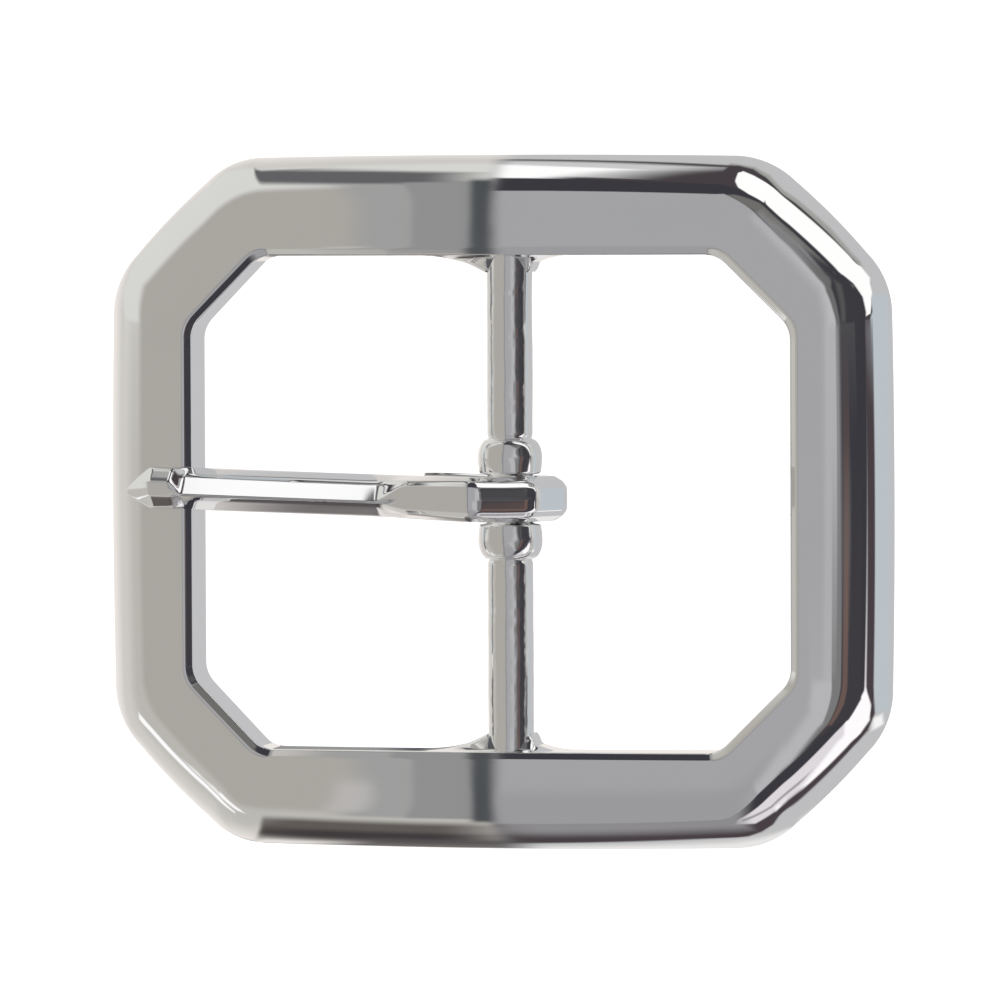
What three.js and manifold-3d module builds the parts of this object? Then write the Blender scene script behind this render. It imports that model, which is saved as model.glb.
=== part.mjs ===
// A gentleman's centre-bar belt buckle: a polished cast frame with clipped corners, a bar
// across its middle with two collars, and a tongue that is wound round the bar and swings on it.
// Millimetres, +X along the belt, +Y along the bar, +Z towards the viewer. The buckle lies on
// its back, with its origin at the bottom centre of its box.

import * as THREE from "three";
import { mergeVertices } from "three/addons/utils/BufferGeometryUtils.js";
import Module from "manifold-3d";

const wasm = await Module();
wasm.setup();

// ---- Driving dimensions, mm ----
const frameWidth = 65.4; // along X, at the back
const frameHeight = 56.8; // along Y, at the back
const cornerCut = 10.0; // leg of each clipped corner
const outerRadius = 7.1; // rounding of the outline's eight vertices
const openingWidth = 49.7;
const openingHeight = 40.4;
const openingCut = 5.9;
const openingRadius = 2.4;
const sideBow = 0.16; // the straight sides swell outwards by this much

const railHeight = 4.6; // of the side rails, back to front
const frontRise = 1.9; // the front arches up by this much over the middle
const backRise = 2.0; // the hollow under the middle
const backFlatX = 24.4; // beyond this, under the side rails, the back is a flat land
const crownDrop = 0.52; // part of the height that the front falls by, inner edge to shoulder
const crownPower = 3.2; // how late the crown falls
const shoulderAt = 0.86; // place of the shoulder across the rail, 0 inside to 1 outside
const rollEnd = 0.11; // end of the small roll along the inner edge

const barX = 1.6; // the bar stands a little to the buckle end
const barZ = 4.0;
const barRadius = 1.86;
const bossRadius = 2.0; // where the bar meets the frame
const bossY = 18.8; // the bar ends here, on the boss
const collarCentreY = 0.35;
const collarGap = 4.0; // room for the tongue's eye
const collarLength = 2.9;
const collarFull = 1.4; // the collar keeps its full radius this far from the gap
const collarRadius = 2.62;
const collarNeck = 1.72; // the groove at the outer end of a collar
const webReachTip = 8.0; // flared web beside each boss, as deep as the boss is long
const webReachEnd = 5.2;
const webEndDepth = 0.7; // the web is shallower on the buckle end's side
const webBackZ = 2.2;
const webFrontZ = 4.7;

const tongueWidth = 3.55;
const eyeWidth = 3.75;
const tongueThickness = 2.8;
const eyeThickness = 1.4;
const tailThickness = 1.4;
const tipReach = 31.5; // bar axis to the point
const flatStart = 21.0; // distance from the point where the ridged front starts to flatten
const flatRun = 3.0;
const eyeStart = 20.0; // distance from the point where the shank starts to thin and widen to the eye
const eyeRun = 9.0;
const tailStart = 10.0; // distance from the tail's end where the eye thickens to the tail
const tailRun = 7.0;
const pointEnd = 3.9; // the faceted point gives way to the ridged shank here
const pointRun = 1.1;
const tongueRings = 84;
const blunt = 0.08; // share of the full width left at the very point
const thinTip = 0.4; // share of the full thickness left at the very point
const skewPower = 1.15;
const dipPower = 1.2;
const tipLength = 2.3; // the front slopes down over this length
const tipTaper = 2.1; // the outline narrows to the point over this length
const tipDrop = 0.7; // the point dips towards the outer edge of the rail
const tipSideways = 0.35; // the point is ground a little to the -Y side of the shank's middle
const shankTipZ = 6.82; // middle of the shank over the rail
const skew = 1.0; // the point stands this far off square, towards +Y
const tailSkew = 0.25;

// ---- Small helpers ----
const lerp = (a, b, t) => a + (b - a) * t;
const smooth = (t) => t * t * (3 - 2 * t);
const clamp01 = (t) => Math.min(1, Math.max(0, t));

function chrome(roughness) {
  return new THREE.MeshStandardMaterial({ color: 0xc9c8c6, roughness, metalness: 1 });
}

/** Joins a grid of closed rings into one closed body. Without closed ends, the rings join up in a loop. */
function skinRings(rings, closedEnds) {
  const count = rings[0].length;
  const positions = rings.flat().flatMap((p) => [p.x, p.y, p.z]);
  const index = [];
  const spans = closedEnds ? rings.length - 1 : rings.length;
  for (let i = 0; i < spans; i++) {
    const near = i * count;
    const far = ((i + 1) % rings.length) * count;
    for (let j = 0; j < count; j++) {
      const k = (j + 1) % count;
      index.push(near + j, far + j, far + k, near + j, far + k, near + k);
    }
  }
  if (closedEnds) {
    const last = (rings.length - 1) * count;
    for (let j = 1; j < count - 1; j++) {
      index.push(0, j, j + 1, last, last + j + 1, last + j);
    }
  }
  const geometry = new THREE.BufferGeometry();
  geometry.setAttribute("position", new THREE.Float32BufferAttribute(positions, 3));
  geometry.setIndex(index);
  return geometry;
}

/** A closed geometry as a solid, or its mirror image across the XZ plane. */
function toSolid(geometry, mirrored = false) {
  const bare = geometry.clone();
  bare.deleteAttribute("normal");
  bare.deleteAttribute("uv");
  const merged = mergeVertices(bare, 1e-4);
  const vertProperties = Float32Array.from(merged.attributes.position.array);
  const triVerts = Uint32Array.from(merged.index.array);
  if (mirrored) {
    for (let i = 1; i < vertProperties.length; i += 3) vertProperties[i] *= -1;
    triVerts.reverse();
  }
  return new wasm.Manifold(new wasm.Mesh({ numProp: 3, vertProperties, triVerts }));
}

function toGeometry(solid) {
  const mesh = solid.getMesh();
  const geometry = new THREE.BufferGeometry();
  geometry.setAttribute("position", new THREE.BufferAttribute(Float32Array.from(mesh.vertProperties), 3));
  geometry.setIndex(Array.from(mesh.triVerts));
  return geometry;
}

// ---- Frame ----
/** Points of a rectangle with clipped, rounded corners, counter-clockwise, the same number for any size. */
function clippedOutline(width, height, cut, radius, bow) {
  const a = width / 2;
  const b = height / 2;
  const vertices = [
    [a, -(b - cut)], [a, b - cut], [a - cut, b], [-(a - cut), b],
    [-a, b - cut], [-a, -(b - cut)], [-(a - cut), -b], [a - cut, -b],
  ].map(([x, y]) => new THREE.Vector2(x, y));
  const arcSteps = 5;
  const sideSteps = [6, 4, 16, 4, 6, 4, 16, 4];
  const tangent = radius * Math.tan(Math.PI / 8);
  const points = [];
  vertices.forEach((vertex, i) => {
    const before = vertices[(i + 7) % 8];
    const after = vertices[(i + 1) % 8];
    const into = vertex.clone().sub(before).normalize();
    const away = after.clone().sub(vertex).normalize();
    const left = new THREE.Vector2(-into.y, into.x);
    const start = vertex.clone().addScaledVector(into, -tangent);
    const centre = start.clone().addScaledVector(left, radius);
    for (let k = 0; k <= arcSteps; k++) {
      const turn = (Math.PI / 4) * (k / arcSteps);
      const spoke = left.clone().multiplyScalar(-radius).rotateAround(new THREE.Vector2(), turn);
      points.push(centre.clone().add(spoke));
    }
    const from = vertex.clone().addScaledVector(away, tangent);
    const to = after.clone().addScaledVector(away, -tangent);
    const outwards = new THREE.Vector2(away.y, -away.x);
    for (let k = 1; k < sideSteps[i]; k++) {
      const t = k / sideSteps[i];
      points.push(from.clone().lerp(to, t).addScaledVector(outwards, bow * 4 * t * (1 - t)));
    }
  });
  return points;
}

/** The rail's section as [across, up]: across from 0 inside to 1 outside, up from 0 back to 1 front. */
function railSection() {
  const section = [[0.02, 0], [0, 0.05], [0, 0.86], [0.012, 0.915], [0.068, 0.985]];
  const crownSteps = 9;
  for (let i = 0; i <= crownSteps; i++) {
    const t = i / crownSteps;
    const across = lerp(rollEnd, shoulderAt, t);
    section.push([across, 1 - crownDrop * t ** crownPower]);
  }
  const shoulderUp = 1 - crownDrop;
  section.push([lerp(shoulderAt, 1, 0.28), shoulderUp * 0.8]);
  section.push([lerp(shoulderAt, 1, 0.78), shoulderUp * 0.35], [1, 0.05], [0.985, 0]);
  return section.reverse();
}

function backHeight(x) {
  return backRise * Math.max(0, 1 - (x / backFlatX) ** 2);
}

function frontHeight(x) {
  return railHeight + frontRise * (1 - (2 * x / frameWidth) ** 2);
}

function rim() {
  const inner = clippedOutline(openingWidth, openingHeight, openingCut, openingRadius, 0);
  const squareWidth = frameWidth - 2 * sideBow;
  const squareHeight = frameHeight - 2 * sideBow;
  const outer = clippedOutline(squareWidth, squareHeight, cornerCut, outerRadius, sideBow);
  const section = railSection();
  const rings = inner.map((point, i) => section.map(([across, up]) => {
    const x = lerp(point.x, outer[i].x, across);
    const y = lerp(point.y, outer[i].y, across);
    return new THREE.Vector3(x, y, lerp(backHeight(x), frontHeight(x), up));
  }));
  return skinRings(rings, false);
}

/** The round boss at the +Y end of the bar, sunk into the rail. */
function boss() {
  const length = openingHeight / 2 + 1.5 - bossY;
  const geometry = new THREE.CylinderGeometry(bossRadius, bossRadius, length, 32);
  return geometry.translate(barX, bossY + length / 2, barZ);
}

/** The flared web at the back of the boss, longer on the tip's side. */
function web() {
  const wall = openingHeight / 2;
  const sunk = wall + 1.0;
  const shape = new THREE.Shape();
  shape.moveTo(barX - webReachTip, sunk);
  shape.lineTo(barX - webReachTip, wall);
  shape.quadraticCurveTo(barX - barRadius - 1.6, wall - 0.25, barX - barRadius, bossY);
  shape.lineTo(barX + barRadius, bossY);
  shape.lineTo(barX + barRadius, wall - webEndDepth);
  shape.quadraticCurveTo(barX + barRadius + 1.2, wall - 0.1, barX + webReachEnd, wall);
  shape.lineTo(barX + webReachEnd, sunk);
  shape.closePath();
  const geometry = new THREE.ExtrudeGeometry(shape, {
    depth: webFrontZ - webBackZ, bevelEnabled: false, curveSegments: 8,
  });
  return geometry.translate(0, 0, webBackZ);
}

function frame() {
  let solid = toSolid(rim());
  for (const piece of [boss(), web()]) {
    solid = solid.add(toSolid(piece)).add(toSolid(piece, true));
  }
  const mesh = new THREE.Mesh(toGeometry(solid), chrome(0.08));
  mesh.name = "frame";
  return mesh;
}

// ---- Centre bar ----
/** Profile of one collar as [radius, distance from the tongue's gap]: a bead with a groove behind it. */
function collarProfile() {
  const points = [[barRadius, 0], [collarRadius * 0.94, 0.08], [collarRadius * 0.98, collarFull / 2]];
  const steps = 6;
  for (let i = 0; i < steps; i++) {
    const turn = (Math.PI / 2) * (i / steps);
    const radius = lerp(barRadius, collarRadius, Math.cos(turn));
    points.push([radius, lerp(collarFull, collarLength, Math.sin(turn))]);
  }
  points.push([collarNeck, collarLength], [barRadius, collarLength + 0.4]);
  return points;
}

/** Bar and collars turned as one, its axis along Y. */
function centreBar() {
  const upper = collarProfile().map(([r, y]) => new THREE.Vector2(r, collarCentreY + collarGap / 2 + y));
  const lower = collarProfile().map(([r, y]) => new THREE.Vector2(r, collarCentreY - collarGap / 2 - y));
  const profile = [
    new THREE.Vector2(0, -bossY), new THREE.Vector2(barRadius, -bossY),
    ...lower.reverse(), ...upper,
    new THREE.Vector2(barRadius, bossY), new THREE.Vector2(0, bossY),
  ];
  const mesh = new THREE.Mesh(new THREE.LatheGeometry(profile, 32), chrome(0.16));
  mesh.name = "centre_bar";
  mesh.position.set(barX, 0, barZ);
  return mesh;
}

// ---- Tongue ----
/**
 * The tongue's middle line in X and Z, from the point along the shank, over the flat crest, round
 * the eye and back to the tail's end: straight runs whose corners are rounded off.
 */
function tongueLine() {
  const corners = [ // x from the bar's axis, z, length cut off at the corner
    [-tipReach, shankTipZ, 0], [-27.0, 7.0, 0.4], [-9.0, 6.84, 1.2], [-2.3, 8.3, 0.6], [1.9, 6.0, 0.5],
    [4.05, 2.5, 0.9], [2.3, 1.15, 0.9], [-1.0, 1.1, 1.5], [-7.4, 2.9, 0],
  ];
  const vertices = corners.map(([x, z]) => new THREE.Vector3(barX + x, 0, z));
  const path = new THREE.CurvePath();
  let from = vertices[0];
  for (let i = 1; i < vertices.length; i++) {
    const vertex = vertices[i];
    const cut = corners[i][2];
    const before = vertex.clone().add(vertices[i - 1].clone().sub(vertex).setLength(cut));
    path.add(new THREE.LineCurve3(from, before));
    if (i === vertices.length - 1) break;
    const after = vertex.clone().add(vertices[i + 1].clone().sub(vertex).setLength(cut));
    path.add(new THREE.QuadraticBezierCurve3(before, vertex, after));
    from = after;
  }
  return path;
}

/** The tongue's front as [across, up] corners: at its point, along its shank and over its eye. */
const pointed = [[1, -0.9], [0.96, 0], [0.34, 0.94], [0, 1], [-0.34, 0.94], [-0.96, 0], [-1, -0.9]];
const ridged = [[1, -0.95], [0.52, 0.45], [0.31, 0.9], [0.22, 1], [0.1, 0.85], [-0.6, -0.03], [-1, -0.98]];
const flat = [[1, -0.6], [0.76, 0.45], [0.5, 0.95], [0, 1], [-0.5, 0.95], [-0.76, 0.45], [-1, -0.6]];

/** One section of the tongue, [across, up] from -1 to 1: a flat underside and a faceted front. */
function tongueSection(fromPoint) {
  const point = 1 - smooth(clamp01((fromPoint - pointEnd) / pointRun));
  const flatness = smooth(clamp01((fromPoint - flatStart) / flatRun));
  const front = ridged.map((corner, i) => corner.map((value, k) => (
    lerp(lerp(value, pointed[i][k], point), flat[i][k], flatness)
  )));
  return [[-0.86, -1], [0.86, -1], ...front];
}

/** Half width and half thickness of the tongue at a distance from its point and from its tail's end. */
function tongueSize(fromPoint, fromTail) {
  const point = clamp01(fromPoint / tipLength);
  const eye = smooth(clamp01((fromPoint - eyeStart) / eyeRun));
  const tail = smooth(clamp01((tailStart - fromTail) / tailRun));
  const width = lerp(tongueWidth, eyeWidth, eye) / 2;
  const thickness = lerp(lerp(tongueThickness, eyeThickness, eye), tailThickness, tail) / 2;
  const spread = lerp(blunt, 1, clamp01(fromPoint / tipTaper));
  return { width: width * spread, thickness: thickness * lerp(thinTip, 1, point) };
}

/** How far the tongue's middle stands off the collars' middle, towards +Y. */
function tongueSide(middle, fromPoint, isTail) {
  const reach = clamp01((barX - middle.x) / tipReach);
  if (isTail) return tailSkew * smooth(clamp01((barX - middle.x) / tailRun));
  const ground = 1 - clamp01(fromPoint / tipTaper);
  return skew * reach ** skewPower - tipSideways * ground;
}

function tongue() {
  const path = tongueLine();
  const total = path.getLength();
  const steps = tongueRings;
  const rings = [];
  for (let i = 0; i <= steps; i++) {
    const fromPoint = total * (i / steps);
    const middle = path.getPointAt(i / steps);
    const along = path.getTangentAt(i / steps);
    const up = new THREE.Vector3(-along.z, 0, along.x);
    const { width, thickness } = tongueSize(fromPoint, total - fromPoint);
    const isTail = along.x < 0;
    const y = collarCentreY + tongueSide(middle, fromPoint, isTail);
    const dip = tipDrop * (1 - clamp01(fromPoint / tipLength)) ** dipPower;
    rings.push(tongueSection(fromPoint).map(([across, upwards]) => new THREE.Vector3(
      middle.x + up.x * thickness * upwards,
      y - width * across,
      middle.z - dip + up.z * thickness * upwards,
    )));
  }
  const mesh = new THREE.Mesh(skinRings(rings, true), chrome(0.08));
  mesh.name = "tongue";
  return mesh;
}

// ---- Assembly ----
const buckle = new THREE.Group();
buckle.add(frame(), centreBar(), tongue());

export default buckle;
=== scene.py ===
"""Looks of a polished centre-bar belt buckle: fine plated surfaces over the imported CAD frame.

Every shape here is the CAD solid of the same name made finer, in metres and in the same frame:
+X along the belt to the buckle's end, +Y along the bar, +Z out of the front. The metal is plain
bright plating: nearly all of its look is what it mirrors, so the studio is painted with care.
"""
import math

import bpy
from mathutils import Matrix, Vector, noise


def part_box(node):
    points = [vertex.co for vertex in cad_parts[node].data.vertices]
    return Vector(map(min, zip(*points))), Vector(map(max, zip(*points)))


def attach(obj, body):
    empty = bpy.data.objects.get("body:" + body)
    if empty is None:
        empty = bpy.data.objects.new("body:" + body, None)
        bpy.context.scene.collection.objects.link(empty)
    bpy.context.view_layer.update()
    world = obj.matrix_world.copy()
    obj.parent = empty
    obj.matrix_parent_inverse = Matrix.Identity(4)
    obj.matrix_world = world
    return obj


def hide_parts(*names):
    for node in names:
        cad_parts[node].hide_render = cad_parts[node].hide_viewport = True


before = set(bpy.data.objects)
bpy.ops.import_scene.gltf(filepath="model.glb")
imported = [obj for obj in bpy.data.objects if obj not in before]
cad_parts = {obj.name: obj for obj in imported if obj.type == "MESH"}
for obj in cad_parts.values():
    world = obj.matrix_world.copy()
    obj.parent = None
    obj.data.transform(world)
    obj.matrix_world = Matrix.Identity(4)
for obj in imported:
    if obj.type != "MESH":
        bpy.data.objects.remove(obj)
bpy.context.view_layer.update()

MM = 0.001

# ---- Driving dimensions, metres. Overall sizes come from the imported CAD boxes. ----
FRAME_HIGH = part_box("frame")[1]
BAR_LOW, BAR_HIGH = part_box("centre_bar")
TONGUE_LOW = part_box("tongue")[0]

HALF_X, HALF_Y = FRAME_HIGH.x, FRAME_HIGH.y
SIDE_BOW = 0.16 * MM  # the straight sides swell outwards by this much
CORNER_CUT = 10.0 * MM
OUTER_RADIUS = 7.1 * MM
OPENING_X, OPENING_Y = 24.85 * MM, 20.2 * MM
OPENING_CUT = 5.9 * MM
OPENING_RADIUS = 2.4 * MM
SHORT_SIDE_STEPS, CUT_STEPS, LONG_SIDE_STEPS, ARC_STEPS = 36, 16, 190, 14

RAIL_HEIGHT = 4.6 * MM
FRONT_RISE = FRAME_HIGH.z - RAIL_HEIGHT
BACK_RISE = 2.0 * MM  # the hollow under the middle
BACK_FLAT_X = 24.4 * MM  # beyond this, under the side rails, the back is a flat land
CROWN_DROP = 0.52  # part of the height that the front falls by, inner edge to shoulder
CROWN_POWER = 3.2  # how late the crown falls
SHOULDER_AT = 0.86  # place of the shoulder across the rail, 0 inside to 1 outside
SHOULDER_ROUND = 0.03  # part of the crown that the shoulder's rounding takes up
BEVEL_END = 0.11  # across the rail, where the inner edge's bevel has run out
BEVEL_START = 0.86  # up the inner wall, where the bevel starts
BEVEL_LOW, BEVEL_HIGH = (0.012, 0.915), (0.068, 0.985)  # ends of the bevel's flat, across and up

BAR_X = (BAR_LOW.x + BAR_HIGH.x) / 2
BAR_Z = (BAR_LOW.z + BAR_HIGH.z) / 2
BAR_RADIUS = 1.86 * MM
BAR_END = BAR_HIGH.y
BAR_SUNK = 1.6 * MM  # how far the bar's skin runs into the rails
COLLAR_Y = 0.35 * MM
COLLAR_GAP = 4.0 * MM
COLLAR_LENGTH = 2.9 * MM
COLLAR_FULL = 1.4 * MM
COLLAR_RADIUS = (BAR_HIGH.x - BAR_LOW.x) / 2
COLLAR_EDGE = 0.1 * MM  # rounding of a collar's face beside the tongue
COLLAR_FACE = 0.95  # part of the full radius at that face
COLLAR_NECK = 0.94  # part of the bar's radius in the groove behind a collar
COLLAR_FADE = 0.4 * MM  # the groove runs out over this length
BAR_STEPS, BAR_SIDES = 420, 72
LUMPS = ((420, 0.035 * MM), (1300, 0.014 * MM))  # lumps per metre and how high they stand
WEB_REACH_TIP = 8.0 * MM
WEB_REACH_END = 5.2 * MM
WEB_END_DEPTH = 0.7 * MM  # the web is shallower on the buckle end's side
WEB_STEP = 0.4 * MM
WEB_FLARE_TIP, WEB_FLARE_END = 2.6, 2.2
WEB_FRONT_Z = 4.9 * MM
WEB_EDGE = 0.9 * MM  # the web's front edge is rounded over this height
WEB_ACROSS = 0.3  # part of the rail's width that the web pulls along

TONGUE_STEP = 0.12 * MM
TONGUE_WIDTH = 3.55 * MM
EYE_WIDTH = 3.75 * MM
UNDERSIDE = 0.86  # part of the width that the flat underside has
TONGUE_THICKNESS = 2.8 * MM
EYE_THICKNESS = 1.4 * MM
TAIL_THICKNESS = 1.4 * MM
TIP_REACH = BAR_X - TONGUE_LOW.x
SHANK_TIP_Z = 6.82 * MM  # middle of the shank over the rail
FLAT_START = 21.0 * MM  # distance from the point where the ridged front starts to flatten
FLAT_RUN = 3.0 * MM
EYE_START = 20.0 * MM  # distance from the point where the shank starts to thin and widen
EYE_RUN = 9.0 * MM
TAIL_START = 10.0 * MM  # distance from the tail's end where the eye thickens to the tail
TAIL_RUN = 7.0 * MM
TIP_LENGTH = 2.3 * MM  # the front slopes down over this length
POINT_END = 3.9 * MM  # the faceted point gives way to the ridged shank here
POINT_RUN = 1.1 * MM
TIP_TAPER = 2.1 * MM  # the outline narrows to the point over this length
BLUNT = 0.08  # share of the full width left at the very point
THIN_TIP = 0.4  # share of the full thickness left at the very point
TIP_DROP = 0.7 * MM  # the point dips towards the outer edge of the rail
DIP_POWER = 1.2
TIP_SIDEWAYS = 0.35 * MM  # the point is ground a little to the -Y side of the shank's middle
SKEW = 1.0 * MM  # the point stands this far off square, towards +Y
SKEW_POWER = 1.15
TAIL_SKEW = 0.25 * MM


# ---- Small helpers ----
def lerp(a, b, t):
    return a + (b - a) * t


def clamp01(t):
    return min(1.0, max(0.0, t))


def smooth(t):
    t = clamp01(t)
    return t * t * (3 - 2 * t)


def bezier(a, b, c, steps):
    """Points of a quadratic curve from a to c, bent towards b, without the first."""
    a, b, c = Vector(a), Vector(b), Vector(c)
    return [a.lerp(b, k / steps).lerp(b.lerp(c, k / steps), k / steps) for k in range(1, steps + 1)]


def make_piece(name, vertices, faces, material, body, *replaced):
    """A smooth-shaded mesh object that rides on a body and may stand for CAD nodes."""
    mesh = bpy.data.meshes.new(name)
    mesh.from_pydata(vertices, [], faces)
    mesh.validate()
    mesh.polygons.foreach_set("use_smooth", [True] * len(mesh.polygons))
    mesh.materials.append(material)
    piece = bpy.data.objects.new(name, mesh)
    bpy.context.scene.collection.objects.link(piece)
    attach(piece, body)
    if replaced:
        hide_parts(*replaced)
    return piece


def ring_faces(rings, count, closed):
    """Quads between rings of count points each; a closed run joins the last ring to the first."""
    faces = []
    for i in range(rings if closed else rings - 1):
        near, far = i * count, (i + 1) % rings * count
        for j in range(count):
            k = (j + 1) % count
            faces.append((near + j, far + j, far + k, near + k))
    return faces


def end_faces(rings, count):
    """The two flat faces that close a run of rings."""
    last = (rings - 1) * count
    return [tuple(range(count)), tuple(range(last + count - 1, last - 1, -1))]


# ---- Materials ----
class Nodes:
    """A few shorthands for building a material's node tree."""

    def __init__(self, tree):
        self.tree = tree

    def add(self, kind, **settings):
        node = self.tree.nodes.new(kind)
        for key, value in settings.items():
            setattr(node, key, value)
        return node

    def link(self, source, target):
        self.tree.links.new(source, target)

    def noise(self, scale, detail=2.0, stretch=(1, 1, 1)):
        """Noise over the object's own coordinates, scale in features per metre."""
        place = self.add("ShaderNodeTexCoord")
        mapping = self.add("ShaderNodeMapping")
        mapping.inputs["Scale"].default_value = stretch
        texture = self.add("ShaderNodeTexNoise")
        texture.inputs["Scale"].default_value = scale
        texture.inputs["Detail"].default_value = detail
        self.link(place.outputs["Object"], mapping.inputs["Vector"])
        self.link(mapping.outputs["Vector"], texture.inputs["Vector"])
        return texture.outputs["Fac"]

    def spread(self, value, low, high):
        """The value 0..1 spread to low..high."""
        node = self.add("ShaderNodeMapRange")
        node.inputs["To Min"].default_value = low
        node.inputs["To Max"].default_value = high
        self.link(value, node.inputs["Value"])
        return node.outputs["Result"]

    def bump(self, height, strength, distance, normal=None):
        node = self.add("ShaderNodeBump")
        node.inputs["Strength"].default_value = strength
        node.inputs["Distance"].default_value = distance
        self.link(height, node.inputs["Height"])
        if normal is not None:
            self.link(normal, node.inputs["Normal"])
        return node.outputs["Normal"]


def plated_metal(name, tint, roughness, wave, pits):
    """Bright plating: uneven polish, fine hairlines, a slow wave in the surface and small pits."""
    material = bpy.data.materials.new(name)
    material["slot"] = name
    material.use_nodes = True
    nodes = Nodes(material.node_tree)
    shader = material.node_tree.nodes["Principled BSDF"]
    shader.inputs["Metallic"].default_value = 1.0
    cloudy = nodes.noise(180, 3)
    colour = nodes.add("ShaderNodeMix", data_type="RGBA")
    colour.inputs["A"].default_value = (*[c * 0.97 for c in tint], 1)
    colour.inputs["B"].default_value = (*tint, 1)
    nodes.link(cloudy, colour.inputs["Factor"])
    nodes.link(colour.outputs["Result"], shader.inputs["Base Color"])
    nodes.link(nodes.spread(cloudy, *roughness), shader.inputs["Roughness"])
    slow = nodes.bump(nodes.noise(260, 1), wave, 0.05 * MM)
    hairlines = nodes.noise(900, 4, stretch=(1, 14, 3))
    fine = nodes.bump(hairlines, 0.02, 0.01 * MM, slow)
    speckle = nodes.noise(2400, 2)
    nodes.link(nodes.bump(speckle, pits, 0.02 * MM, fine), shader.inputs["Normal"])
    return material


frame_plate = plated_metal("frame_plate", (0.90, 0.90, 0.895), (0.015, 0.04), 0.02, 0.0)
bar_plate = plated_metal("bar_plate", (0.90, 0.90, 0.895), (0.06, 0.16), 0.3, 0.1)
tongue_plate = plated_metal("tongue_plate", (0.90, 0.90, 0.90), (0.03, 0.06), 0.03, 0.0)


# ---- Frame ----
def clipped_outline(half_x, half_y, cut, radius, bow):
    """A rectangle's outline with clipped, rounded corners, counter-clockwise."""
    xs = (half_x, half_x, half_x - cut, cut - half_x, -half_x, -half_x, cut - half_x, half_x - cut)
    ys = (cut - half_y, half_y - cut, half_y, half_y, half_y - cut, cut - half_y, -half_y, -half_y)
    corners = [Vector(xy) for xy in zip(xs, ys)]
    steps = (SHORT_SIDE_STEPS, CUT_STEPS, LONG_SIDE_STEPS, CUT_STEPS) * 2
    tangent = radius * math.tan(math.pi / 8)
    points = []
    for i, corner in enumerate(corners):
        arriving = (corner - corners[i - 1]).normalized()
        leaving = (corners[(i + 1) % 8] - corner).normalized()
        left = Vector((-arriving.y, arriving.x))
        centre = corner - arriving * tangent + left * radius
        for k in range(ARC_STEPS + 1):
            turn = math.pi / 4 * k / ARC_STEPS
            points.append(centre + radius * (arriving * math.sin(turn) - left * math.cos(turn)))
        start = corner + leaving * tangent
        end = corners[(i + 1) % 8] - leaving * tangent
        outwards = Vector((leaving.y, -leaving.x))
        for k in range(1, steps[i]):
            t = k / steps[i]
            points.append(start.lerp(end, t) + outwards * (bow * 4 * t * (1 - t)))
    return points


def rail_section():
    """The rail's section as (across, up), from the back's inner edge over the front and round."""
    shoulder_up = 1 - CROWN_DROP
    section = [Vector((0.02, 0))]
    section += bezier((0.02, 0), (0, 0), (0, 0.05), 3)
    section += [Vector((0, lerp(0.05, BEVEL_START, k / 12))) for k in range(1, 13)]
    section += bezier((0, BEVEL_START), (0, 0.90), BEVEL_LOW, 4)
    section += [Vector(BEVEL_LOW).lerp(Vector(BEVEL_HIGH), k / 6) for k in range(1, 7)]
    section += bezier(BEVEL_HIGH, (0.08, 1), (BEVEL_END, 1), 6)
    for k in range(1, 31):
        t = (1 - SHOULDER_ROUND) * k / 30
        section.append(Vector((lerp(BEVEL_END, SHOULDER_AT, t), 1 - CROWN_DROP * t ** CROWN_POWER)))
    edge = (SHOULDER_AT, shoulder_up)
    wall_top = (lerp(SHOULDER_AT, 1, 0.14), shoulder_up * 0.9)
    section += bezier(section[-1], edge, wall_top, 5)
    section += bezier(wall_top, (lerp(SHOULDER_AT, 1, 0.72), shoulder_up * 0.48), (1, 0.06), 10)
    section += bezier((1, 0.06), (1, 0), (0.985, 0), 3)
    section += [Vector((lerp(0.985, 0.02, k / 6), 0)) for k in range(1, 6)]
    return section


def back_height(x):
    return BACK_RISE * max(0, 1 - (x / BACK_FLAT_X) ** 2)


def front_height(x):
    return RAIL_HEIGHT + FRONT_RISE * (1 - (x / HALF_X) ** 2)


def web_depth(x):
    """How far the flared web stands off the inner wall beside the bar."""
    wall = OPENING_Y - BAR_END
    off = abs(x - BAR_X) - BAR_RADIUS
    if off <= 0:
        return wall
    if x < BAR_X:
        return wall * (1 - clamp01(off / (WEB_REACH_TIP - BAR_RADIUS))) ** WEB_FLARE_TIP
    depth = lerp(wall, WEB_END_DEPTH, smooth(off / WEB_STEP))
    return depth * (1 - clamp01(off / (WEB_REACH_END - BAR_RADIUS))) ** WEB_FLARE_END


def rim():
    inner = clipped_outline(OPENING_X, OPENING_Y, OPENING_CUT, OPENING_RADIUS, 0)
    outer = clipped_outline(HALF_X - SIDE_BOW, HALF_Y - SIDE_BOW, CORNER_CUT, OUTER_RADIUS, SIDE_BOW)
    section = rail_section()
    vertices = []
    for near, far in zip(inner, outer):
        for across, up in section:
            place = near.lerp(far, across)
            height = lerp(back_height(place.x), front_height(place.x), up)
            behind_front = 1 - smooth((height - WEB_FRONT_Z) / WEB_EDGE)
            on_web = behind_front * (1 - clamp01(across / WEB_ACROSS))
            on_long_side = abs(near.y) > OPENING_Y - 1e-6
            if on_long_side:
                place.y -= math.copysign(web_depth(place.x) * on_web, near.y)
            vertices.append((place.x, place.y, height))
    faces = ring_faces(len(inner), len(section), closed=True)
    faces = [face[::-1] for face in faces]
    return make_piece("frame_skin", vertices, faces, frame_plate, "buckle_frame", "frame")


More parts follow.
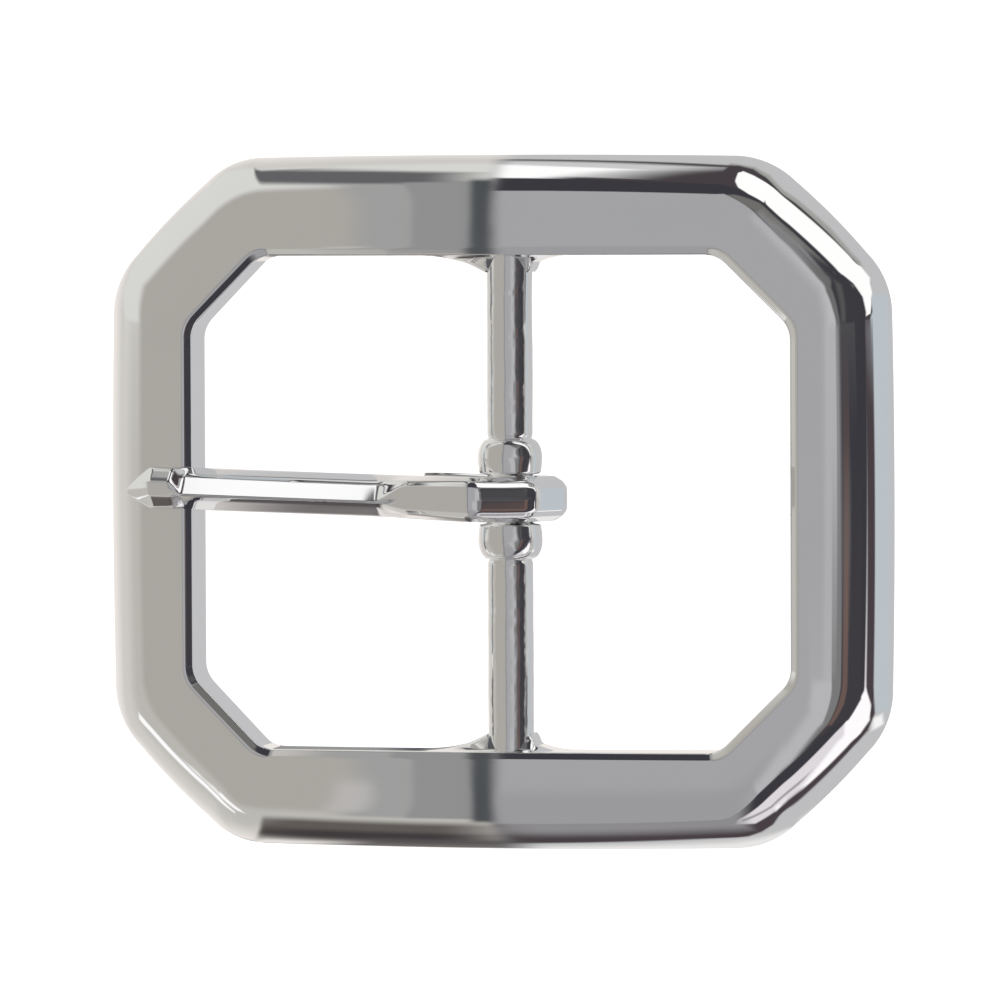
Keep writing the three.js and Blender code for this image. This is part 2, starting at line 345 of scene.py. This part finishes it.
# ---- Centre bar ----
def bar_profile():
    """Radius of the bar and its collars at each place along Y."""
    places = []
    low, high = -(BAR_END + BAR_SUNK), BAR_END + BAR_SUNK
    for k in range(BAR_STEPS + 1):
        y = lerp(low, high, k / BAR_STEPS)
        off = abs(y - COLLAR_Y) - COLLAR_GAP / 2
        places.append((y, collar_radius(off)))
    return places


def collar_radius(off):
    """Radius at a distance beyond the tongue's gap, below 0 within it."""
    if off < 0:
        return BAR_RADIUS
    if off < COLLAR_EDGE:
        return lerp(BAR_RADIUS, COLLAR_RADIUS * COLLAR_FACE, math.sqrt(off / COLLAR_EDGE))
    if off < COLLAR_FULL:
        return COLLAR_RADIUS * lerp(COLLAR_FACE, 1, math.sin(math.pi / 2 * off / COLLAR_FULL))
    if off < COLLAR_LENGTH:
        t = (off - COLLAR_FULL) / (COLLAR_LENGTH - COLLAR_FULL)
        return lerp(BAR_RADIUS * COLLAR_NECK, COLLAR_RADIUS, math.sqrt(1 - t * t))
    return BAR_RADIUS * lerp(COLLAR_NECK, 1, smooth((off - COLLAR_LENGTH) / COLLAR_FADE))


def centre_bar():
    """The bar as it left the mould: round, with a slightly lumpy skin under its plating."""
    profile = bar_profile()
    vertices = []
    for y, radius in profile:
        for j in range(BAR_SIDES):
            turn = 2 * math.pi * j / BAR_SIDES
            spoke = Vector((math.cos(turn), 0, math.sin(turn)))
            place = Vector((BAR_X, y, BAR_Z)) + spoke * radius
            lump = sum(noise.noise(place * per_metre) * height for per_metre, height in LUMPS)
            vertices.append(place + spoke * lump)
    faces = ring_faces(len(profile), BAR_SIDES, closed=False) + end_faces(len(profile), BAR_SIDES)
    return make_piece("centre_bar_skin", vertices, faces, bar_plate, "buckle_frame", "centre_bar")


# ---- Tongue ----
def tongue_corners():
    """Corners of the middle line in mm: x from the bar, z, and the length each is rounded over."""
    return [
        (-TIP_REACH / MM, SHANK_TIP_Z / MM, 0), (-27.0, 7.0, 0.4),
        (-9.0, 6.84, 1.2), (-2.3, 8.3, 0.6), (1.9, 6.0, 0.5),
        (4.05, 2.5, 0.9), (2.3, 1.15, 0.9), (-1.0, 1.1, 1.5), (-7.4, 2.9, 0),
    ]


def tongue_line():
    """Points of the middle line, close together, from the point to the tail's end."""
    corners = tongue_corners()
    spots = [Vector((BAR_X + x * MM, 0, z * MM)) for x, z, _ in corners]
    line = [spots[0]]
    for i in range(1, len(spots)):
        cut = corners[i][2] * MM
        before = spots[i] + (spots[i - 1] - spots[i]).normalized() * cut
        run = (before - line[-1]).length
        steps = max(2, round(run / TONGUE_STEP))
        line += [line[-1].lerp(before, k / steps) for k in range(1, steps + 1)]
        if i < len(spots) - 1:
            after = spots[i] + (spots[i + 1] - spots[i]).normalized() * cut
            line += bezier(before, spots[i], after, 12)
    return line


# Corners of the tongue's front, (across, up): at its point, along its shank and over its eye.
POINTED = [(1, -0.9), (0.96, 0.0), (0.34, 0.94), (0, 1.0), (-0.34, 0.94), (-0.96, 0.0), (-1, -0.9)]
RIDGED = [(1, -0.95), (0.52, 0.45), (0.31, 0.9), (0.22, 1.0), (0.1, 0.85), (-0.6, -0.03), (-1, -0.98)]
FLAT = [(1, -0.6), (0.76, 0.45), (0.5, 0.95), (0, 1.0), (-0.5, 0.95), (-0.76, 0.45), (-1, -0.6)]


def tongue_section(pointed, flatness):
    """One section as (across, up) from -1 to 1: flat underside and a faceted front."""
    corners = [Vector((-UNDERSIDE, -1)), Vector((UNDERSIDE, -1))]
    for point, ridged, flat in zip(POINTED, RIDGED, FLAT):
        corners.append(Vector(ridged).lerp(Vector(point), pointed).lerp(Vector(flat), flatness))
    section = []
    for i, corner in enumerate(corners):
        following = corners[(i + 1) % len(corners)]
        before = corner.lerp(corners[i - 1], 0.25)
        after = corner.lerp(following, 0.25)
        section += [before] + bezier(before, corner, after, 5)
        section += [corner.lerp(following, k / 12) for k in (4, 5, 6, 7, 8)]
    return section


def tongue_size(from_point, from_tail):
    """Half width, half width that the point's outline leaves of it, and half thickness."""
    point = clamp01(from_point / TIP_LENGTH)
    eye = smooth((from_point - EYE_START) / EYE_RUN)
    tail = smooth((TAIL_START - from_tail) / TAIL_RUN)
    width = lerp(TONGUE_WIDTH, EYE_WIDTH, eye) / 2
    thickness = lerp(lerp(TONGUE_THICKNESS, EYE_THICKNESS, eye), TAIL_THICKNESS, tail) / 2
    outline = width * lerp(BLUNT, 1, clamp01(from_point / TIP_TAPER))
    return width, outline, thickness * lerp(THIN_TIP, 1, point)


def tongue_side(middle, from_point, is_tail):
    """How far the middle stands off the collars' middle, towards +Y."""
    if is_tail:
        return TAIL_SKEW * smooth((BAR_X - middle.x) / TAIL_RUN)
    ground = 1 - clamp01(from_point / TIP_TAPER)
    return SKEW * clamp01((BAR_X - middle.x) / TIP_REACH) ** SKEW_POWER - TIP_SIDEWAYS * ground


def tongue():
    line = tongue_line()
    lengths = [0.0]
    for a, b in zip(line, line[1:]):
        lengths.append(lengths[-1] + (b - a).length)
    vertices = []
    for i, middle in enumerate(line):
        along = (line[min(i + 1, len(line) - 1)] - line[max(i - 1, 0)]).normalized()
        up = Vector((-along.z, 0, along.x))
        width, outline, thickness = tongue_size(lengths[i], lengths[-1] - lengths[i])
        y = COLLAR_Y + tongue_side(middle, lengths[i], along.x < 0)
        dip = TIP_DROP * (1 - clamp01(lengths[i] / TIP_LENGTH)) ** DIP_POWER
        pointed = 1 - smooth((lengths[i] - POINT_END) / POINT_RUN)
        section = tongue_section(pointed, smooth((lengths[i] - FLAT_START) / FLAT_RUN))
        for across, upwards in section:
            place = middle + up * (thickness * upwards)
            aside = max(-outline, min(outline, width * across))
            vertices.append((place.x, y - aside, place.z - dip))
    count = len(section)
    faces = ring_faces(len(line), count, closed=False) + end_faces(len(line), count)
    return make_piece("tongue_skin", vertices, faces, tongue_plate, "buckle_tongue", "tongue")


# ---- Camera, floor and light ----
def make_camera():
    """The photograph's view: nearly straight down, a little from the right, with a long lens."""
    azimuth, tilt, roll = math.radians(11.53), math.radians(2.21), math.radians(-0.24)
    distance = 700 * MM
    towards = Vector((
        math.sin(azimuth), math.sin(tilt) * math.cos(azimuth), math.cos(azimuth) * math.cos(tilt),
    )).normalized()
    right = Vector((0, 1, 0)).cross(towards).normalized()
    up = towards.cross(right)
    middle = Vector((0, 0, 3 * MM))
    aim = middle + right * (0.53 * MM) + up * (0.20 * MM)
    data = bpy.data.cameras.new("camera")
    data.sensor_width = 36
    data.lens = 308.5
    data.clip_start, data.clip_end = 0.01, 10
    camera = bpy.data.objects.new("camera", data)
    bpy.context.scene.collection.objects.link(camera)
    rolled_right = right * math.cos(roll) + up * math.sin(roll)
    rolled_up = towards.cross(rolled_right)
    camera.matrix_world = matrix_from_axes(rolled_right, rolled_up, towards, aim + towards * distance)
    bpy.context.scene.camera = camera


def matrix_from_axes(x, y, z, origin):
    """The matrix whose columns are three unit axes and a place."""
    rows = [(x[i], y[i], z[i], origin[i]) for i in range(3)]
    return Matrix((*rows, (0, 0, 0, 1)))


def make_floor():
    """A plain white floor that the camera sees and the metal doesn't mirror."""
    material = bpy.data.materials.new("floor")
    material.use_nodes = True
    shader = material.node_tree.nodes["Principled BSDF"]
    shader.inputs["Base Color"].default_value = (0.9, 0.9, 0.9, 1)
    shader.inputs["Roughness"].default_value = 0.9
    shader.inputs["Emission Color"].default_value = (1, 1, 1, 1)
    shader.inputs["Emission Strength"].default_value = 0.8
    mesh = bpy.data.meshes.new("floor")
    reach = 1.5
    corners = [(-reach, -reach, 0), (reach, -reach, 0), (reach, reach, 0), (-reach, reach, 0)]
    mesh.from_pydata(corners, [], [(0, 1, 2, 3)])
    mesh.materials.append(material)
    floor = bpy.data.objects.new("floor", mesh)
    bpy.context.scene.collection.objects.link(floor)
    floor.visible_glossy = False


# ---- Studio ----
PLAIN_LIGHT = 0.55  # the even light on everything that isn't a mirror
TENT_LIGHT = 1.12
# A tent of pale cloth with a slit for the lens: every direction is a place on a chart, in degrees
# from the zenith towards +X (east) and +Y (north). Each panel is a convex sheet on the chart:
# its colour as seen in good metal (0 to 255), the softness of its edge in degrees, its opacity
# and its corners, where a corner that dents inwards only trims the sheet. They are painted in
# order, far ones first. They were placed from the tones that the buckle mirrors in the
# photograph, so they are that photograph's studio and no part of the buckle.
BASE = (232, 226, 222)
WEST = [
    ("tent_wall", (205, 202, 198), 12, 1, [
        (0, 128), (-60, 118), (-100, 96), (-124, 60), (-130, 0), (-124, -60), (-95, -98),
        (-50, -118), (0, -126),
    ]),
    ("tent_side", (186, 183, 178), 14, 1, [
        (0, 110), (-60, 95), (-90, 60), (-100, 0), (-94, -50), (-60, -90), (0, -105),
    ]),
    ("upper_panel", (213, 213, 210), 4, 1, [
        (0, 0), (0, 112), (-60, 106), (-96, 92), (-116, 66), (-122, 30), (-112, 0),
    ]),
    ("beige_tent", (170, 166, 161), 8, 1, [
        (0, 76), (-20, 72), (-42, 62), (-70, 46), (-88, 26), (-76, 0), (-72, -30), (-50, -60),
        (0, -72),
    ]),
    ("lower_glow", (188, 186, 181), 10, 0.7, [
        (0, -62), (-30, -60), (-60, -52), (-90, -60), (-90, -88), (-50, -100), (0, -100),
    ]),
    ("wide_streak", (252, 252, 252), 2.0, 1, [
        (-93, -38), (-95, -46), (-84, -58), (-62, -76), (-60, -73), (-74, -57), (-84, -45),
    ]),
    ("thin_streak", (250, 248, 248), 1.6, 1, [
        (-66, -49), (-74, -53), (-56, -70), (-47, -74), (-50, -68),
    ]),
    ("dark_curl", (98, 97, 100), 2.5, 1, [(-15, 66), (-20, 92), (-34, 106), (-46, 108), (-21, 72)]),
]
EAST = [
    ("floor_side", (190, 190, 192), 8, 1, [(-60, -200), (200, -200), (200, 200), (-60, 200)]),
    ("floor_blue", (186, 194, 200), 8, 1, [(90, -40), (118, -40), (118, 30), (90, 30)]),
    ("floor_glint", (250, 250, 250), 4, 0.9, [(104, -62), (104, -44), (92, -48), (88, -66)]),
    ("floor_low", (236, 234, 233), 8, 0.9, [(-60, -150), (60, -150), (60, -118), (-60, -126)]),
    ("ring_top_rim", (150, 152, 146), 2, 0.8, [
        (-12, 90), (90, 50), (72, 86), (48, 105), (24, 115), (-12, 119),
    ]),
    ("ring_top", (70, 64, 68), 1.5, 1, [
        (-60, 0), (94, 0), (97, 8), (92, 48), (70, 81), (46, 101), (24, 112), (2, 116), (-60, 116),
    ]),
    ("ring_low", (72, 64, 68), 2, 1, [
        (97, 0), (-60, 10), (-60, -117), (12, -116), (32, -111), (50, -102), (84, -66), (96, -42),
        (98, -10),
    ]),
    ("window_far", (255, 255, 255), 1.2, 1, [
        (50, 40), (88, 4), (94, 6), (95, 34), (90, 56), (78, 72), (60, 84), (46, 92),
    ]),
    ("window_low", (255, 252, 255), 1.8, 1, [
        (40, -30), (40, -64), (58, -80), (74, -68), (88, -50), (91, -28), (86, -3),
    ]),
    ("window_low_dim", (222, 217, 221), 2.0, 1, [
        (56, -40), (20, -62), (8, -88), (30, -92), (56, -80),
    ]),
    ("window_low_bar", (140, 138, 142), 1.2, 0.8, [(16, -85), (54, -72), (54, -68), (16, -80)]),
    ("inner_ring", (58, 57, 63), 1.5, 1, [
        (-60, -84), (4, -86), (20, -74), (47, -57), (62, -38), (80, -20), (87, -2), (88, 8),
        (82, 28), (70, 44), (58, 53), (46, 59), (12, 74), (-60, 98),
    ]),
    ("window_top", (255, 255, 255), 1.2, 1, [
        (8, 103), (10, 87), (16, 75), (28, 66), (46, 59), (60, 84), (45, 93), (30, 101), (13, 107),
    ]),
    ("gap_light", (205, 205, 205), 2.5, 0.95, [(-60, 86), (-11, 86), (-12, 112), (-60, 116)]),
    ("gap_glare", (255, 255, 255), 1.5, 1, [(-24, 83), (-14, 83), (-14, 103), (-24, 108)]),
    ("right_tent", (163, 163, 166), 1.0, 1, [
        (-60, -79), (-8, -79), (4, -73), (14, -64), (32, -40), (36, -20), (36, 10), (34, 30),
        (30, 38), (6, 57), (-3, 64), (-9, 68), (-12, 66), (-14.5, 58), (-60, 54),
    ]),
    ("right_low", (153, 152, 155), 12, 0.8, [(-60, -20), (-60, -100), (20, -100), (20, -20)]),
    ("ring_band", (110, 109, 107), 1.5, 1, [
        (5, 58), (24, 43), (35, 38), (50, 50), (40, 56), (14, 60),
    ]),
    ("right_sheen", (188, 187, 191), 8, 0.9, [(20, -2), (40, -2), (40, 40), (26, 30)]),
    ("low_wedge", (184, 183, 186), 1.6, 0.85, [(5, -4), (30, -42), (34, -40), (34, -4)]),
    ("ring_edge", (108, 107, 108), 2, 1, [
        (31, 22), (33, 10), (38, 0), (70, 0), (70, 42), (38, 40), (32, 32),
    ]),
    ("ring_deep", (60, 59, 64), 2, 1, [
        (39, 30), (41, 10), (44, 0), (80, 0), (80, 28), (60, 48), (44, 46),
    ]),
    ("ring_haze", (88, 88, 88), 3, 0.8, [(46, 2), (54, 2), (54, 38), (46, 42)]),
    ("wedge_edge", (122, 121, 122), 1.5, 1, [(28, -3), (28, -30), (33, -41), (60, -38), (60, -3)]),
    ("wedge_deep", (62, 60, 65), 1.5, 1, [
        (44, -3), (39, -20), (33, -38), (36, -43), (60, -42), (78, -20), (78, -3),
    ]),
    ("brown_band", (134, 106, 96), 2, 0.5, [
        (48, -2), (41, -20), (35, -37), (39, -40), (50, -22), (57, -2),
    ]),
]
# Bands along the slit: colour, reach and softness in the direction's X part, reach and softness
# in degrees north, opacity.
BANDS = [
    ("dark_foot", (96, 90, 88), -0.33, -0.20, 0.03, -118, -80, 8, 1),
    ("dark_sole", (60, 56, 58), -0.30, -0.20, 0.03, -118, -100, 7, 0.9),
    ("dark_under", (84, 80, 82), -0.25, -0.19, 0.01, -130, -112, 4, 0.9),
    ("fog", (158, 158, 158), -0.29, -0.247, 0.012, -70, 74, 5, 1),
    ("fog_glow", (186, 183, 182), -0.305, -0.28, 0.008, -60, -12, 8, 0.8),
    ("grey_post", (144, 144, 145), -0.252, -0.206, 0.003, -70, 76, 3, 1),
    ("lens", (76, 79, 82), -0.2115, -0.1975, 0.0035, -76, 80, 5, 1),
]
# The panels of EAST end at the slit, at this X part of the direction, with this softness.
SLIT = -0.196
SLIT_SOFT = 0.007


def to_linear(level):
    level /= 255
    return level / 12.92 if level < 0.04045 else ((level + 0.055) / 1.055) ** 2.4


class Sky(Nodes):
    """The nodes that paint the tent on the chart of directions."""

    def __init__(self, tree):
        super().__init__(tree)
        direction = self.add("ShaderNodeTexCoord").outputs["Generated"]
        split = self.add("ShaderNodeSeparateXYZ")
        self.link(direction, split.inputs[0])
        self.east_part = split.outputs["X"]
        angle = self.math("ARCCOSINE", split.outputs["Z"])
        up_squared = self.math("POWER", split.outputs["Z"], 2)
        flat = self.math("SQRT", self.math("SUBTRACT", 1.0001, up_squared))
        scale = self.math("DIVIDE", self.math("DEGREES", angle), flat)
        east = self.math("MULTIPLY", split.outputs["X"], scale)
        self.north = self.math("MULTIPLY", split.outputs["Y"], scale)
        chart = self.add("ShaderNodeCombineXYZ")
        self.link(east, chart.inputs["X"])
        self.link(self.north, chart.inputs["Y"])
        chart.inputs["Z"].default_value = 1
        self.chart = chart.outputs[0]

    def math(self, operation, *values):
        node = self.add("ShaderNodeMath", operation=operation)
        for socket, value in zip(node.inputs, values):
            if isinstance(value, (int, float)):
                socket.default_value = value
            else:
                self.link(value, socket)
        return node.outputs[0]

    def fade(self, distance, softness):
        """0 outside to 1 inside, over a soft edge."""
        node = self.add("ShaderNodeMapRange", interpolation_type="SMOOTHSTEP")
        node.inputs["From Min"].default_value = -softness
        node.inputs["From Max"].default_value = softness
        self.link(distance, node.inputs["Value"])
        return node.outputs["Result"]

    def sheet(self, corners, softness):
        """A mask for the convex sheet between corners, given in counter-clockwise order."""
        nearest = None
        for (ax, ay), (bx, by) in zip(corners, corners[1:] + corners[:1]):
            length = math.hypot(bx - ax, by - ay)
            inwards = ((ay - by) / length, (bx - ax) / length)
            edge = self.add("ShaderNodeVectorMath", operation="DOT_PRODUCT")
            self.link(self.chart, edge.inputs[0])
            edge.inputs[1].default_value = (*inwards, -inwards[0] * ax - inwards[1] * ay)
            distance = edge.outputs["Value"]
            nearest = distance if nearest is None else self.math("MINIMUM", nearest, distance)
        return self.fade(nearest, softness)

    def between(self, value, low, high, softness):
        above = self.math("SUBTRACT", value, low)
        below = self.math("SUBTRACT", high, value)
        return self.fade(self.math("MINIMUM", above, below), softness)

    def paint(self, under, colour, mask):
        node = self.add("ShaderNodeMix", data_type="RGBA")
        self.link(mask, node.inputs["Factor"])
        self.link(under, node.inputs["A"])
        node.inputs["B"].default_value = (*[to_linear(c) for c in colour], 1)
        return node.outputs["Result"]


def make_world():
    """Plain white light for everything but mirror rays, which see the painted tent."""
    world = bpy.data.worlds.new("studio")
    world.use_nodes = True
    bpy.context.scene.world = world
    tree = world.node_tree
    sky = Sky(tree)
    plain = tree.nodes["Background"]
    plain.inputs["Color"].default_value = (1, 1, 1, 1)
    plain.inputs["Strength"].default_value = PLAIN_LIGHT
    base = sky.add("ShaderNodeRGB")
    base.outputs[0].default_value = (*[to_linear(c) for c in BASE], 1)
    colour = base.outputs[0]
    for _, tone, softness, opacity, corners in WEST:
        colour = sky.paint(colour, tone, sky.math("MULTIPLY", sky.sheet(corners, softness), opacity))
    east_side = sky.fade(sky.math("SUBTRACT", sky.east_part, SLIT), SLIT_SOFT)
    for _, tone, softness, opacity, corners in EAST:
        mask = sky.math("MULTIPLY", sky.sheet(corners, softness), opacity)
        colour = sky.paint(colour, tone, sky.math("MULTIPLY", mask, east_side))
    for _, tone, low, high, softness, south, north, north_soft, opacity in BANDS:
        across = sky.between(sky.east_part, low, high, softness)
        along = sky.between(sky.north, south, north, north_soft)
        mask = sky.math("MULTIPLY", sky.math("MULTIPLY", across, along), opacity)
        colour = sky.paint(colour, tone, mask)
    tent = sky.add("ShaderNodeBackground")
    sky.link(colour, tent.inputs["Color"])
    tent.inputs["Strength"].default_value = TENT_LIGHT
    mix = sky.add("ShaderNodeMixShader")
    sky.link(sky.add("ShaderNodeLightPath").outputs["Is Glossy Ray"], mix.inputs[0])
    sky.link(plain.outputs[0], mix.inputs[1])
    sky.link(tent.outputs[0], mix.inputs[2])
    sky.link(mix.outputs[0], tree.nodes["World Output"].inputs["Surface"])


make_camera()
make_floor()
make_world()
bpy.context.scene.view_settings.view_transform = "Standard"

rim()
centre_bar()
tongue()
for cad_node, plate in (("frame", frame_plate), ("centre_bar", bar_plate), ("tongue", tongue_plate)):
    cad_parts[cad_node].data.materials[0] = plate
